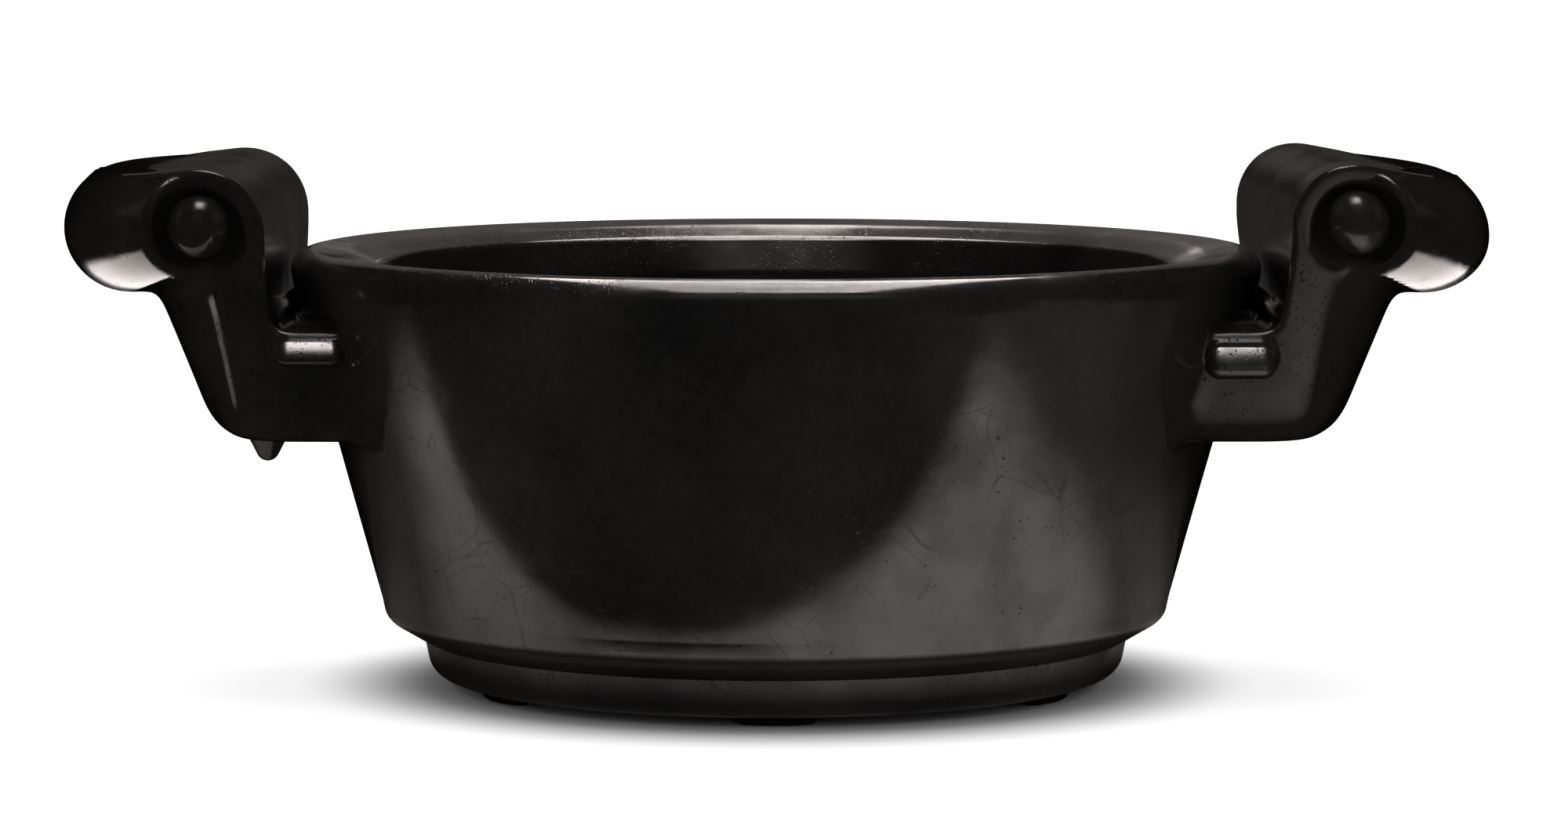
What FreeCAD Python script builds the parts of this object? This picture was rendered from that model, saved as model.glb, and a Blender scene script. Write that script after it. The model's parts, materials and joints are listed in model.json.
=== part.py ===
import FreeCAD, Part
import math
import os

import Sketcher

# Black clay pot: a wide tapered bowl on a recessed foot, with two broad scroll handles.
# Millimetres, +Z up. The origin is the centre of the base, on the surface that the pot stands on.
# +X points at the right handle; -Y is the front.

# Driving dimensions: alias, value, meaning.
DIMENSIONS = [
    # bowl
    ("WallTopRadius", 123.3, "outer radius of the wall where the rim coil sits"),
    ("WallBottomRadius", 100.4, "outer radius of the wall's lower corner"),
    ("WallTopZ", 101.0, "height of the seat under the rim coil"),
    ("WallCornerZ", 18.5, "height of the wall's lower corner"),
    ("WallCornerRounding", 4.0, "rounding of the wall's lower corner"),
    ("WallThickness", 12.0, "wall thickness, measured level"),
    ("FloorTopZ", 20.0, "height of the bowl's inside floor"),
    ("FloorBottomZ", 9.0, "height of the underside inside the foot"),
    ("FloorRounding", 12.0, "rounding between floor and wall, inside"),
    # rim
    ("RimRadius", 126.6, "outer radius of the rim coil, before rounding"),
    ("RimCrestRadius", 119.0, "radius of the rim's highest circle"),
    ("RimCrestZ", 113.0, "height of the rim's highest circle"),
    ("RimInnerRadius", 101.5, "radius of the mouth"),
    ("RimInnerTopZ", 108.0, "height of the lip where its sloping top ends"),
    ("RimInnerLowZ", 102.0, "height of the lip's underside at the mouth"),
    ("RimOuterRounding", 5.0, "rounding of the rim's outer corner"),
    ("RimInnerRounding", 2.5, "rounding of the lip at the mouth"),
    # foot
    ("FootTopRadius", 91.0, "outer radius of the foot ring at its top"),
    ("FootLowRadius", 89.0, "outer radius of the foot ring at its bottom, before rounding"),
    ("FootInnerRadius", 72.0, "inner radius of the foot ring"),
    ("FootTopZ", 12.5, "height of the foot ring's top"),
    ("FootRounding", 5.0, "rounding of the foot ring's outer lower corner"),
    ("PadLift", 2.5, "height of the pads under the foot ring"),
    ("PadLength", 21.0, "length of a pad around the foot"),
    ("PadWidth", 8.0, "width of a pad along the radius"),
    ("PadRounding", 3.4, "rounding of a pad's corners"),
    ("PadCircleRadius", 78.5, "radius of the circle that the pads stand on"),
    # strap
    ("HandleHalfWidth", 58.0, "half of the strap's width along Y"),
    ("StrapInnerX", 125.6, "face of the strap beside the rim"),
    ("StrapThickness", 5.0, "thickness of the strap"),
    ("StrapFootZ", 92.0, "height of the strap's lower end"),
    ("StrapTopZ", 138.9, "height of the strap's top line, before its curl is rounded"),
    ("StrapTipX", 180.0, "where the strap's top line ends, before it is trimmed round"),
    ("StrapTipZ", 133.3, "height of the strap's top line at its tip"),
    ("StrapCurl", 19.0, "outer rounding of the strap's curl"),
    ("StrapTrimRadius", 93.0, "radius of the strap's round trimmed edge, about the bow's centre"),
    # scroll
    ("BowCentreX", 80.0, "centre of the arc that the scroll is bowed along"),
    ("BowRadius", 86.0, "radius of that arc"),
    ("ScrollMidRadius", 17.0, "radius of the scroll in the middle"),
    ("ScrollEndRadius", 12.5, "radius of the scroll at its ends"),
    ("ScrollMidZ", 117.0, "height of the scroll's centre in the middle"),
    ("ScrollEndZ", 121.8, "height of the scroll's centre at its ends"),
    ("GrooveRadius", 8.6, "radius of the groove around each eye"),
    ("GrooveSection", 2.2, "radius of the groove's section"),
    ("EyeRadius", 7.2, "radius of each eye"),
    ("EyeStand", 1.2, "how far an eye's centre stands out of the scroll's end face"),
    # bracket
    ("BracketHalfWidth", 57.8, "half of the bracket's width along Y"),
    ("BracketInnerX", 70.0, "inner end of the bracket's block, inside the wall's outline"),
    ("BracketBottomZ", 68.0, "height of the bracket's underside"),
    ("BracketCrownZ", 118.0, "height of the block's sloping top where it ends inside the scroll"),
    ("BracketBowX", 30.0, "centre of the bracket's bowed outer face"),
    ("BracketLowRadius", 114.0, "radius of the bowed face at the underside"),
    ("BracketHighRadius", 141.0, "radius of the bowed face at the strap's top line"),
    ("BracketRounding", 6.0, "rounding of the bracket's outer edges"),
    ("LedgeZ", 95.0, "height of the ledge between strap and wall"),
    # pegs and drip
    ("PegInnerX", 104.0, "end of a peg on the wall's side"),
    ("PegLowZ", 86.5, "underside of a peg"),
    ("PegHighZ", 97.0, "top of a peg"),
    ("PegNearY", 44.0, "end of a peg nearer the handle's middle, along Y"),
    ("PegFarY", 61.5, "far end of a peg along Y"),
    ("PegRounding", 4.2, "rounding of a peg"),
    ("DripX", 126.0, "distance of the drip from the pot's axis along X"),
    ("DripY", 30.0, "distance of the drip from the pot's axis along Y"),
    ("DripRadius", 5.2, "radius of the drip where it hangs from the bracket"),
    ("DripTipRadius", 2.4, "radius of the drip's tip"),
    ("DripLength", 5.2, "length of the drip without its rounded tip"),
]

PAD_COUNT = 6
SCROLL_SECTIONS = 7
OUTLINE_START_RADIUS = 100.0   # a new outline starts as a ring this large, before it is bound
MATCH = 0.02                   # how near a point has to be to count as on a circle or level

# Lines that the strap shares with the block it stands on.
STRAP_OUTSIDE_X = "dims.StrapInnerX + dims.StrapThickness"
STRAP_UNDERSIDE_Z = ("dims.StrapTopZ - dims.StrapThickness"
                     " - (dims.StrapTopZ - dims.StrapTipZ) * dims.StrapThickness"
                     " / (dims.StrapTipX - dims.StrapInnerX)")
STRAP_INSIDE_CURL = "dims.StrapCurl - dims.StrapThickness"

doc = FreeCAD.newDocument("clay_pot")


# ---- helpers ---------------------------------------------------------------------------------

def make_sheet():
    """Write the driving dimensions, one row each, and return them by alias as numbers."""
    sheet = doc.addObject("Spreadsheet::Sheet", "dims")
    values = {}
    for row, (alias, value, meaning) in enumerate(DIMENSIONS, start=1):
        sheet.set("A%d" % row, alias)
        sheet.set("B%d" % row, str(value))
        sheet.set("C%d" % row, meaning)
        sheet.setAlias("B%d" % row, alias)
        values[alias] = value
    doc.recompute()
    return values


def bind(target, expressions):
    """Bind an object's properties to expressions over the sheet."""
    for path, expression in expressions.items():
        target.setExpression(path, expression)


def add_bound(kind, name, expressions):
    target = doc.addObject(kind, name)
    bind(target, expressions)
    return target


def add_boolean(kind, name, base, tool):
    """A Part::Cut or Part::Common of two objects."""
    result = doc.addObject("Part::" + kind, name)
    result.Base = base
    result.Tool = tool
    return result


def add_union(name, members):
    union = doc.addObject("Part::MultiFuse", name)
    union.Shapes = members
    return union


def edges_where(shape, test):
    """Names of the shape's edges that pass the test."""
    return ["Edge%d" % number for number, edge in enumerate(shape.Edges, start=1) if test(edge)]


def on_circle(radius, height):
    """A test for an edge that is a level circle about the pot's axis."""
    def test(edge):
        return all(abs(math.hypot(vertex.X, vertex.Y) - radius) < MATCH
                   and abs(vertex.Z - height) < MATCH for vertex in edge.Vertexes)
    return test


def is_upright(edge):
    first = edge.Vertexes[0].Point
    last = edge.Vertexes[-1].Point
    return abs(first.x - last.x) < MATCH and abs(first.y - last.y) < MATCH


def origin_plane(body, role):
    for feature in body.Origin.OriginFeatures:
        if feature.Role == role:
            return feature
    raise ValueError("no plane named " + role)


def add_outline(body, name, corners):
    """A closed outline of straight lines in the body's XZ plane, as a sketch.

    corners is a list of (x expression, z expression), each bound to the sheet.
    """
    sketch = body.newObject("Sketcher::SketchObject", name)
    sketch.AttachmentSupport = [(origin_plane(body, "XZ_Plane"), "")]
    sketch.MapMode = "FlatFace"
    count = len(corners)
    ring = []
    for index in range(count):
        angle = 2 * math.pi * index / count
        ring.append(FreeCAD.Vector(math.cos(angle), math.sin(angle), 0) * OUTLINE_START_RADIUS)
    for index in range(count):
        sketch.addGeometry(Part.LineSegment(ring[index], ring[(index + 1) % count]), False)
    for index in range(count):
        sketch.addConstraint(Sketcher.Constraint("Coincident", index, 2, (index + 1) % count, 1))
    for index, corner in enumerate(corners):
        for kind, expression in zip(("DistanceX", "DistanceY"), corner):
            number = sketch.addConstraint(Sketcher.Constraint(kind, -1, 1, index, 1, 1.0))
            sketch.setExpression("Constraints[%d]" % number, expression)
    doc.recompute()
    return sketch


def add_turned_body(label, corners):
    """A body whose outline is turned about the pot's axis; returns the body and the feature."""
    body = doc.addObject("PartDesign::Body", label)
    sketch = add_outline(body, label + "_outline", corners)
    turned = body.newObject("PartDesign::Revolution", label + "_turned")
    turned.Profile = sketch
    turned.ReferenceAxis = (sketch, ["V_Axis"])
    turned.Angle = 360.0
    doc.recompute()
    return body, turned


def add_body_fillet(body, base, test, radius_expression, name):
    """Round the edges of the body's last feature that pass the test."""
    fillet = body.newObject("PartDesign::Fillet", name)
    fillet.Base = (base, edges_where(base.Shape, test))
    bind(fillet, {"Radius": radius_expression})
    doc.recompute()
    return fillet


# ---- bowl ------------------------------------------------------------------------------------

def make_bowl_wall():
    """The thrown body: floor and tapered wall, with a stepped underside that the foot fits."""
    slope = "(dims.WallTopRadius - dims.WallBottomRadius) / (dims.WallTopZ - dims.WallCornerZ)"
    inside_low = ("dims.WallBottomRadius - dims.WallThickness"
                  " + (dims.FloorTopZ - dims.WallCornerZ) * " + slope)
    body, turned = add_turned_body("bowl_wall", [
        ("0", "dims.FloorBottomZ"),
        ("dims.FootInnerRadius", "dims.FloorBottomZ"),
        ("dims.FootInnerRadius", "dims.FootTopZ"),
        ("dims.FootTopRadius", "dims.FootTopZ"),
        ("dims.WallBottomRadius", "dims.WallCornerZ"),
        ("dims.WallTopRadius", "dims.WallTopZ"),
        ("dims.WallTopRadius - dims.WallThickness", "dims.WallTopZ"),
        (inside_low, "dims.FloorTopZ"),
        ("0", "dims.FloorTopZ"),
    ])
    run = size["WallTopRadius"] - size["WallBottomRadius"]
    rise = size["WallTopZ"] - size["WallCornerZ"]
    inside_radius = (size["WallBottomRadius"] - size["WallThickness"]
                     + (size["FloorTopZ"] - size["WallCornerZ"]) * run / rise)
    corner = on_circle(size["WallBottomRadius"], size["WallCornerZ"])
    inside = on_circle(inside_radius, size["FloorTopZ"])
    rounded = add_body_fillet(body, turned, corner, "dims.WallCornerRounding", "wall_corner")
    add_body_fillet(body, rounded, inside, "dims.FloorRounding", "floor_corner")
    return body


def make_rim_coil():
    """The lip: a thick coil whose top slopes down to the mouth."""
    body, turned = add_turned_body("rim_coil", [
        ("dims.WallTopRadius - dims.WallThickness", "dims.WallTopZ"),
        ("dims.WallTopRadius", "dims.WallTopZ"),
        ("dims.RimRadius", "dims.RimCrestZ"),
        ("dims.RimCrestRadius", "dims.RimCrestZ"),
        ("dims.RimInnerRadius", "dims.RimInnerTopZ"),
        ("dims.RimInnerRadius", "dims.RimInnerLowZ"),
    ])
    outer = on_circle(size["RimRadius"], size["RimCrestZ"])
    mouth = on_circle(size["RimInnerRadius"], size["RimInnerTopZ"])
    rounded = add_body_fillet(body, turned, outer, "dims.RimOuterRounding", "rim_shoulder")
    add_body_fillet(body, rounded, mouth, "dims.RimInnerRounding", "rim_mouth")
    return body


def make_foot_ring():
    """The recessed foot under the wall."""
    body, turned = add_turned_body("foot_ring", [
        ("dims.FootInnerRadius", "dims.PadLift"),
        ("dims.FootLowRadius", "dims.PadLift"),
        ("dims.FootTopRadius", "dims.FootTopZ"),
        ("dims.FootInnerRadius", "dims.FootTopZ"),
    ])
    corner = on_circle(size["FootLowRadius"], size["PadLift"])
    add_body_fillet(body, turned, corner, "dims.FootRounding", "foot_corner")
    return body


def make_foot_pad(number):
    """A low pad under the foot ring, with a flat underside."""
    label = "foot_pad_%d" % number
    body = doc.addObject("PartDesign::Body", label)
    block = body.newObject("PartDesign::AdditiveBox", label + "_block")
    bind(block, {"Length": "dims.PadLength",
                 "Width": "dims.PadWidth",
                 "Height": "dims.PadLift"})
    doc.recompute()
    add_body_fillet(body, block, is_upright, "dims.PadRounding", label + "_corners")
    corner = FreeCAD.Vector(-size["PadLength"] / 2,
                            -size["PadCircleRadius"] - size["PadWidth"] / 2, 0)
    turn = FreeCAD.Rotation(FreeCAD.Vector(0, 0, 1), 360.0 * (number - 1) / PAD_COUNT)
    body.Placement = FreeCAD.Placement(turn.multVec(corner), turn)
    return body


# ---- handle, drawn on the +X side ------------------------------------------------------------

def add_symmetric_pad(body, sketch, half_width):
    """Pad an outline evenly to both sides of the XZ plane."""
    pad = body.newObject("PartDesign::Pad", body.Name + "_pad")
    pad.Profile = sketch
    pad.SideType = "Symmetric"
    bind(pad, {"Length": "2 * " + half_width})
    doc.recompute()
    return pad


def along_y_at(x, low_z):
    """A test for an edge along Y at the given X, above a height."""
    return lambda edge: all(abs(vertex.X - x) < MATCH and vertex.Z > low_z
                            for vertex in edge.Vertexes)


def make_strap():
    """A broad strap: up beside the rim, curled outward, its far edge trimmed to a bow."""
    body = doc.addObject("PartDesign::Body", "right_strap_bend")
    sketch = add_outline(body, "strap_outline", [
        ("dims.StrapInnerX", "dims.StrapFootZ"),
        (STRAP_OUTSIDE_X, "dims.StrapFootZ"),
        (STRAP_OUTSIDE_X, STRAP_UNDERSIDE_Z),
        ("dims.StrapTipX", "dims.StrapTipZ - dims.StrapThickness"),
        ("dims.StrapTipX", "dims.StrapTipZ"),
        ("dims.StrapInnerX", "dims.StrapTopZ"),
    ])
    pad = add_symmetric_pad(body, sketch, "dims.HandleHalfWidth")
    curled_z = size["StrapTopZ"] - size["StrapCurl"]
    outer = add_body_fillet(body, pad, along_y_at(size["StrapInnerX"], curled_z),
                            "dims.StrapCurl", "strap_curl")
    inside_x = size["StrapInnerX"] + size["StrapThickness"]
    add_body_fillet(body, outer, along_y_at(inside_x, curled_z),
                    STRAP_INSIDE_CURL, "strap_curl_inside")
    trim = add_bound("Part::Cylinder", "strap_trim", {
        "Radius": "dims.StrapTrimRadius",
        "Height": "dims.StrapTopZ",
        "Placement.Base.x": "dims.BowCentreX"})
    return add_boolean("Common", "right_strap", body, trim)


def bow_end_angle():
    """The angle along the bow at which the scroll's end centres reach the strap's edges."""
    return math.degrees(math.asin((size["HandleHalfWidth"] - 1.0) / size["BowRadius"]))


def bow_placement(angle, height_share, stand=0.0):
    """A frame on the bow at an angle from its middle, with its X axis pointing outward.

    height_share goes from 0 at the bow's middle height to 1 at the height of its ends, and stand
    moves the frame along the bow, away from the middle.
    """
    direction = math.radians(angle)
    height = size["ScrollMidZ"] + (size["ScrollEndZ"] - size["ScrollMidZ"]) * height_share
    centre = FreeCAD.Vector(size["BowCentreX"] + size["BowRadius"] * math.cos(direction),
                            size["BowRadius"] * math.sin(direction), height)
    along = FreeCAD.Vector(-math.sin(direction), math.cos(direction), 0)
    turn = (FreeCAD.Rotation(FreeCAD.Vector(0, 0, 1), angle)
            * FreeCAD.Rotation(FreeCAD.Vector(1, 0, 0), -90))
    return FreeCAD.Placement(centre + along * math.copysign(stand, angle), turn)


def make_roll():
    """The scroll before anything is taken from it: a bowed roll, thickest in the middle."""
    sections = []
    for index in range(SCROLL_SECTIONS):
        share = 2.0 * index / (SCROLL_SECTIONS - 1) - 1.0
        section = add_bound("Part::Circle", "roll_section_%d" % (index + 1), {
            "Radius": "dims.ScrollMidRadius"
                      " - (dims.ScrollMidRadius - dims.ScrollEndRadius) * %.6f" % share ** 2})
        section.Placement = bow_placement(share * bow_end_angle(), share ** 2)
        sections.append(section)
    roll = doc.addObject("Part::Loft", "roll")
    roll.Sections = sections
    roll.Solid = True
    return roll


def end_angle(end):
    return -bow_end_angle() if end == "front" else bow_end_angle()


def make_eye(end):
    """A ball that fills the end of the scroll."""
    eye = add_bound("Part::Sphere", "right_eye_" + end, {"Radius": "dims.EyeRadius"})
    eye.Placement = bow_placement(end_angle(end), 1.0, size["EyeStand"])
    return eye


def make_groove(end):
    """The ring-shaped groove around an eye."""
    groove = add_bound("Part::Torus", "groove_" + end, {
        "Radius1": "dims.GrooveRadius",
        "Radius2": "dims.GrooveSection"})
    groove.Placement = bow_placement(end_angle(end), 1.0)
    return groove


def make_wall_envelope(name):
    """The full cone that the outside of the wall lies on."""
    return add_bound("Part::Cone", name, {
        "Radius1": "dims.WallBottomRadius",
        "Radius2": "dims.WallTopRadius",
        "Height": "dims.WallTopZ - dims.WallCornerZ",
        "Placement.Base.z": "dims.WallCornerZ"})


def make_peg(end):
    """A rounded pad pressed over the joint of strap, block and wall."""
    name = "right_peg_" + end
    body = doc.addObject("PartDesign::Body", name + "_pillow")
    block = body.newObject("PartDesign::AdditiveBox", name + "_block")
    bind(block, {"Length": "dims.StrapInnerX - dims.PegInnerX",
                 "Width": "dims.PegFarY - dims.PegNearY",
                 "Height": "dims.PegHighZ - dims.PegLowZ"})
    doc.recompute()
    add_body_fillet(body, block, lambda edge: True, "dims.PegRounding", name + "_rounding")
    low_y = "-dims.PegFarY" if end == "front" else "dims.PegNearY"
    bind(body, {"Placement.Base.x": "dims.PegInnerX",
                "Placement.Base.y": low_y,
                "Placement.Base.z": "dims.PegLowZ"})
    return add_boolean("Cut", name, body, make_wall_envelope(name + "_wall"))


def make_bracket(taken):
    """The block that carries the handle: bowed outside, a ledge and a seat for the strap.

    taken lists the neighbours that are taken out of the block, one after another.
    """
    body = doc.addObject("PartDesign::Body", "right_bracket_block")
    sketch = add_outline(body, "bracket_outline", [
        ("dims.BracketInnerX", "dims.BracketBottomZ"),
        ("dims.StrapTipX", "dims.BracketBottomZ"),
        ("dims.StrapTipX", "dims.BracketCrownZ"),
        (STRAP_OUTSIDE_X, STRAP_UNDERSIDE_Z),
        (STRAP_OUTSIDE_X, "dims.StrapFootZ"),
        ("dims.StrapInnerX", "dims.StrapFootZ"),
        ("dims.StrapInnerX", "dims.LedgeZ"),
        ("dims.BracketInnerX", "dims.LedgeZ"),
    ])
    pad = add_symmetric_pad(body, sketch, "dims.BracketHalfWidth")
    inside_x = size["StrapInnerX"] + size["StrapThickness"]
    curled_z = size["StrapTopZ"] - size["StrapCurl"]
    add_body_fillet(body, pad, along_y_at(inside_x, curled_z),
                    STRAP_INSIDE_CURL, "bracket_crown")
    bow = add_bound("Part::Cone", "bracket_bow", {
        "Radius1": "dims.BracketLowRadius",
        "Radius2": "dims.BracketHighRadius",
        "Height": "dims.StrapTipZ - dims.BracketBottomZ",
        "Placement.Base.x": "dims.BracketBowX",
        "Placement.Base.z": "dims.BracketBottomZ"})
    bowed = add_boolean("Common", "bracket_bowed", body, bow)
    doc.recompute()

    def is_outer_edge(edge):
        points = [vertex.Point for vertex in edge.Vertexes]
        beyond_strap = max(point.x for point in points) > inside_x
        starts_low = min(point.z for point in points) < size["BracketBottomZ"] + MATCH
        return beyond_strap and starts_low

    rounded = doc.addObject("Part::Fillet", "bracket_rounded")
    rounded.Base = bowed
    radius = size["BracketRounding"]
    rounded.Edges = [(number, radius, radius)
                     for number, edge in enumerate(bowed.Shape.Edges, start=1)
                     if is_outer_edge(edge)]
    remaining = rounded
    tools = [make_wall_envelope("bracket_wall")] + taken
    for number, tool in enumerate(tools, start=1):
        last = number == len(tools)
        name = "right_bracket" if last else "bracket_cut_%d" % number
        remaining = add_boolean("Cut", name, remaining, tool)
    return remaining


def make_drip():
    """A drop that hangs under the left bracket."""
    stem = add_bound("Part::Cone", "drip_stem", {
        "Radius1": "dims.DripTipRadius",
        "Radius2": "dims.DripRadius",
        "Height": "dims.DripLength",
        "Placement.Base.x": "-dims.DripX",
        "Placement.Base.y": "-dims.DripY",
        "Placement.Base.z": "dims.BracketBottomZ - dims.DripLength"})
    tip = add_bound("Part::Sphere", "drip_tip", {
        "Radius": "dims.DripTipRadius",
        "Placement.Base.x": "-dims.DripX",
        "Placement.Base.y": "-dims.DripY",
        "Placement.Base.z": "dims.BracketBottomZ - dims.DripLength"})
    return add_union("left_drip", [stem, tip])


def make_right_handle():
    strap = make_strap()
    roll = make_roll()
    ends = ("front", "back")
    eyes = [make_eye(end) for end in ends]
    grooves = [make_groove(end) for end in ends]
    scroll_tools = add_union("scroll_taken", [strap] + eyes + grooves)
    scroll = add_boolean("Cut", "right_scroll", roll, scroll_tools)
    pegs = [make_peg(end) for end in ends]
    bracket = make_bracket([roll] + eyes + pegs)
    return [bracket, strap, scroll] + eyes + pegs


def make_left_handle(right_pieces):
    """The left handle is the right one mirrored across the YZ plane."""
    mirrored = []
    for piece in right_pieces:
        twin = doc.addObject("Part::Mirroring", piece.Name.replace("right", "left"))
        twin.Source = piece
        twin.Normal = FreeCAD.Vector(1, 0, 0)
        mirrored.append(twin)
    return mirrored


# ---- assembly --------------------------------------------------------------------------------

def check_document():
    """Stop if any object failed to build."""
    for item in doc.Objects:
        if "Invalid" in item.State or "Error" in item.State:
            raise RuntimeError("%s failed: %s" % (item.Name, item.State))


def write_piece(piece):
    """Write one sub-part's solid to its file, after checking it."""
    piece.Label = piece.Name
    shape = piece.Shape
    if shape.isNull() or not shape.isValid() or len(shape.Solids) != 1:
        raise RuntimeError("%s isn't one valid solid" % piece.Name)
    shape.exportStep(os.path.join("parts", piece.Label + ".step"))
    box = shape.BoundBox
    print("%-18s %10.1f mm3  x %7.1f %7.1f  y %6.1f %6.1f  z %6.1f %6.1f" % (
        piece.Label, shape.Volume, box.XMin, box.XMax, box.YMin, box.YMax, box.ZMin, box.ZMax))


size = make_sheet()
pieces = [make_bowl_wall(), make_rim_coil(), make_foot_ring()]
pieces += [make_foot_pad(number) for number in range(1, PAD_COUNT + 1)]
right_pieces = make_right_handle()
pieces += right_pieces
pieces += make_left_handle(right_pieces)
pieces.append(make_drip())
doc.recompute()
check_document()
os.makedirs("parts", exist_ok=True)
for piece in pieces:
    write_piece(piece)
print("%d pieces" % len(pieces))
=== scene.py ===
import json
import math

import bpy
import numpy as np
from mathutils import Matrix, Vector


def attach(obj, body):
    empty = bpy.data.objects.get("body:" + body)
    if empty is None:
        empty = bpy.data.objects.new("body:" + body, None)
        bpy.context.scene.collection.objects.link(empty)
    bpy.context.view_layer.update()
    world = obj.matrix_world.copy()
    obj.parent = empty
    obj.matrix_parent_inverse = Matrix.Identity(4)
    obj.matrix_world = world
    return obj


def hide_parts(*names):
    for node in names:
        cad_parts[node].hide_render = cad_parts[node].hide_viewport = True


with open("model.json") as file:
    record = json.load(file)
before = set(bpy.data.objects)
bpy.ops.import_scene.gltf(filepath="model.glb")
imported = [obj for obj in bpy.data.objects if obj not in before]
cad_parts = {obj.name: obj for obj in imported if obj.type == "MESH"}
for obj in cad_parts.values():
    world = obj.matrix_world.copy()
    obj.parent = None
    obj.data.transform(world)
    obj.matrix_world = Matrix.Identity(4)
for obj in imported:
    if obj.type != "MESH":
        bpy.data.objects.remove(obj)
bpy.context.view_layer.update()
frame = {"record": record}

# Black clay pot with two scroll handles. Lengths in this script are millimetres in the frame of
# the CAD model, +Z up and -Y the front; make_mesh turns them into metres.

MM = 0.001

# ---- driving dimensions ----------------------------------------------------------------------

WALL_LOW_RADIUS = 100.4        # lower corner of the wall
WALL_LOW_Z = 18.5
WALL_HIGH_RADIUS = 123.2       # top of the wall, under the rim coil
WALL_HIGH_Z = 101.0
WALL_SLOPE = (WALL_HIGH_RADIUS - WALL_LOW_RADIUS) / (WALL_HIGH_Z - WALL_LOW_Z)
WAIST_HEIGHT = 4.5             # height of the wall's soft lower corner
WALL_THICKNESS = 12.0
FLOOR_TOP_Z = 20.0
FLOOR_LOW_Z = 9.0
RIM_RADIUS = 125.6             # before its shoulder is rounded
RIM_CREST_Z = 112.8
RIM_MOUTH_RADIUS = 102.6
FOOT_RADIUS = 91.0
FOOT_INNER_RADIUS = 72.0
FOOT_TOP_Z = 12.5
FOOT_LOW_Z = 2.5

STRAP_INNER_X = 125.7          # face of the strap beside the rim
STRAP_THICKNESS = 4.8
STRAP_HALF_WIDTH = 57.5
STRAP_FOOT_Z = 92.3
STRAP_TOP_Z = 137.6            # height of the strap's top line above its inner face
STRAP_FALL = 0.112             # how much the top line falls for each unit outward
STRAP_CURL = 19.0
STRAP_EDGE = 1.3
STRAP_TRIM_RADIUS = 92.8       # round trimmed edge, about the bow's centre

BOW_X = 80.0                   # centre of the arc that the scroll is bowed along
BOW_RADIUS = 86.0
BOW_END = math.asin(57.0 / BOW_RADIUS)
ROLL_MID_RADIUS = 16.5
ROLL_END_RADIUS = 12.8
ROLL_MID_Z = 118.2
ROLL_END_Z = 121.5
ROLL_LIP = 2.6                 # rounding of the lip around each end's cup
CUP_RADIUS = 10.6
CUP_DEPTH = 6.0
EYE_RADIUS = 7.9

BLOCK_HALF_WIDTH = 57.9
BLOCK_LOW_Z = 67.0
BLOCK_RISE = 33.0              # over this height the block's outer face leans out and swells by
BLOCK_LOW_X = 144.0            # the two amounts below, starting from here
BLOCK_LEAN = 14.0
BLOCK_SWELL = 9.5
LEDGE_Z = 95.0                 # flat top of the block's base, beside the rim

PEG_START_Y = 44.2
PEG_LOW_Z = 86.4
PEG_MID_X = 115.6
PEG_HALF_LENGTH = 9.9
PEG_REACH = 18.0               # how far a peg swells along Y
PEG_SWELL = 9.0                # and along Z
RIGHT_PEG_STRETCH = 0.35       # the right pegs hang lower than the left ones by this share

PAD_COUNT = 6
PAD_Y = 78.5
PAD_HALF_LENGTH = 10.5
PAD_HALF_WIDTH = 4.0
PAD_HALF_HEIGHT = 1.6

DRIP_X = -128.6
DRIP_Y = -30.0
DRIP_TIP_Z = 60.3
DRIP_TIP_RADIUS = 3.0
DRIP_LEAN = math.radians(27)   # lean of its side from upright
DRIP_LENGTH = 9.0

ROLL_FILLET = 8.0
PEG_FILLET = 2.0
SKIN = 0.006                   # the block's own skin lies this far under the faces it runs into

ENDS = ("front", "back")
PIECE_ENDING = "_clay"         # a piece is named after its CAD node, with this ending


# ---- mesh helpers ----------------------------------------------------------------------------

WOBBLE = 0.13                  # its size, for about 0.2 mm at the most along X or Y
WOBBLE_LENGTH = 40.0           # the length over which it changes


def hand_wobble(points):
    """The slight unevenness of hand work: the same smooth field for every piece."""
    x, y, z = (points / WOBBLE_LENGTH).T
    push = np.stack([
        np.sin(1.3 * y + 0.7 * z + 0.4) + 0.6 * np.sin(2.3 * z - 1.1 * y + 2.0),
        np.sin(1.1 * x - 0.9 * z + 1.7) + 0.6 * np.sin(1.9 * x + 1.7 * z + 0.3),
        0.4 * np.sin(0.9 * x + 1.2 * y + 0.9)], axis=1)
    return points + WOBBLE * push


def make_mesh(node, points, faces, uneven=True):
    """A smooth-shaded piece, from points in millimetres, that stands for one CAD node."""
    if uneven:
        points = hand_wobble(points)
    name = node + PIECE_ENDING
    mesh = bpy.data.meshes.new(name)
    mesh.from_pydata((points * MM).tolist(), [], faces)
    mesh.validate()
    mesh.polygons.foreach_set("use_smooth", [True] * len(mesh.polygons))
    mesh.update()
    piece = bpy.data.objects.new(name, mesh)
    bpy.context.scene.collection.objects.link(piece)
    return piece


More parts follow.
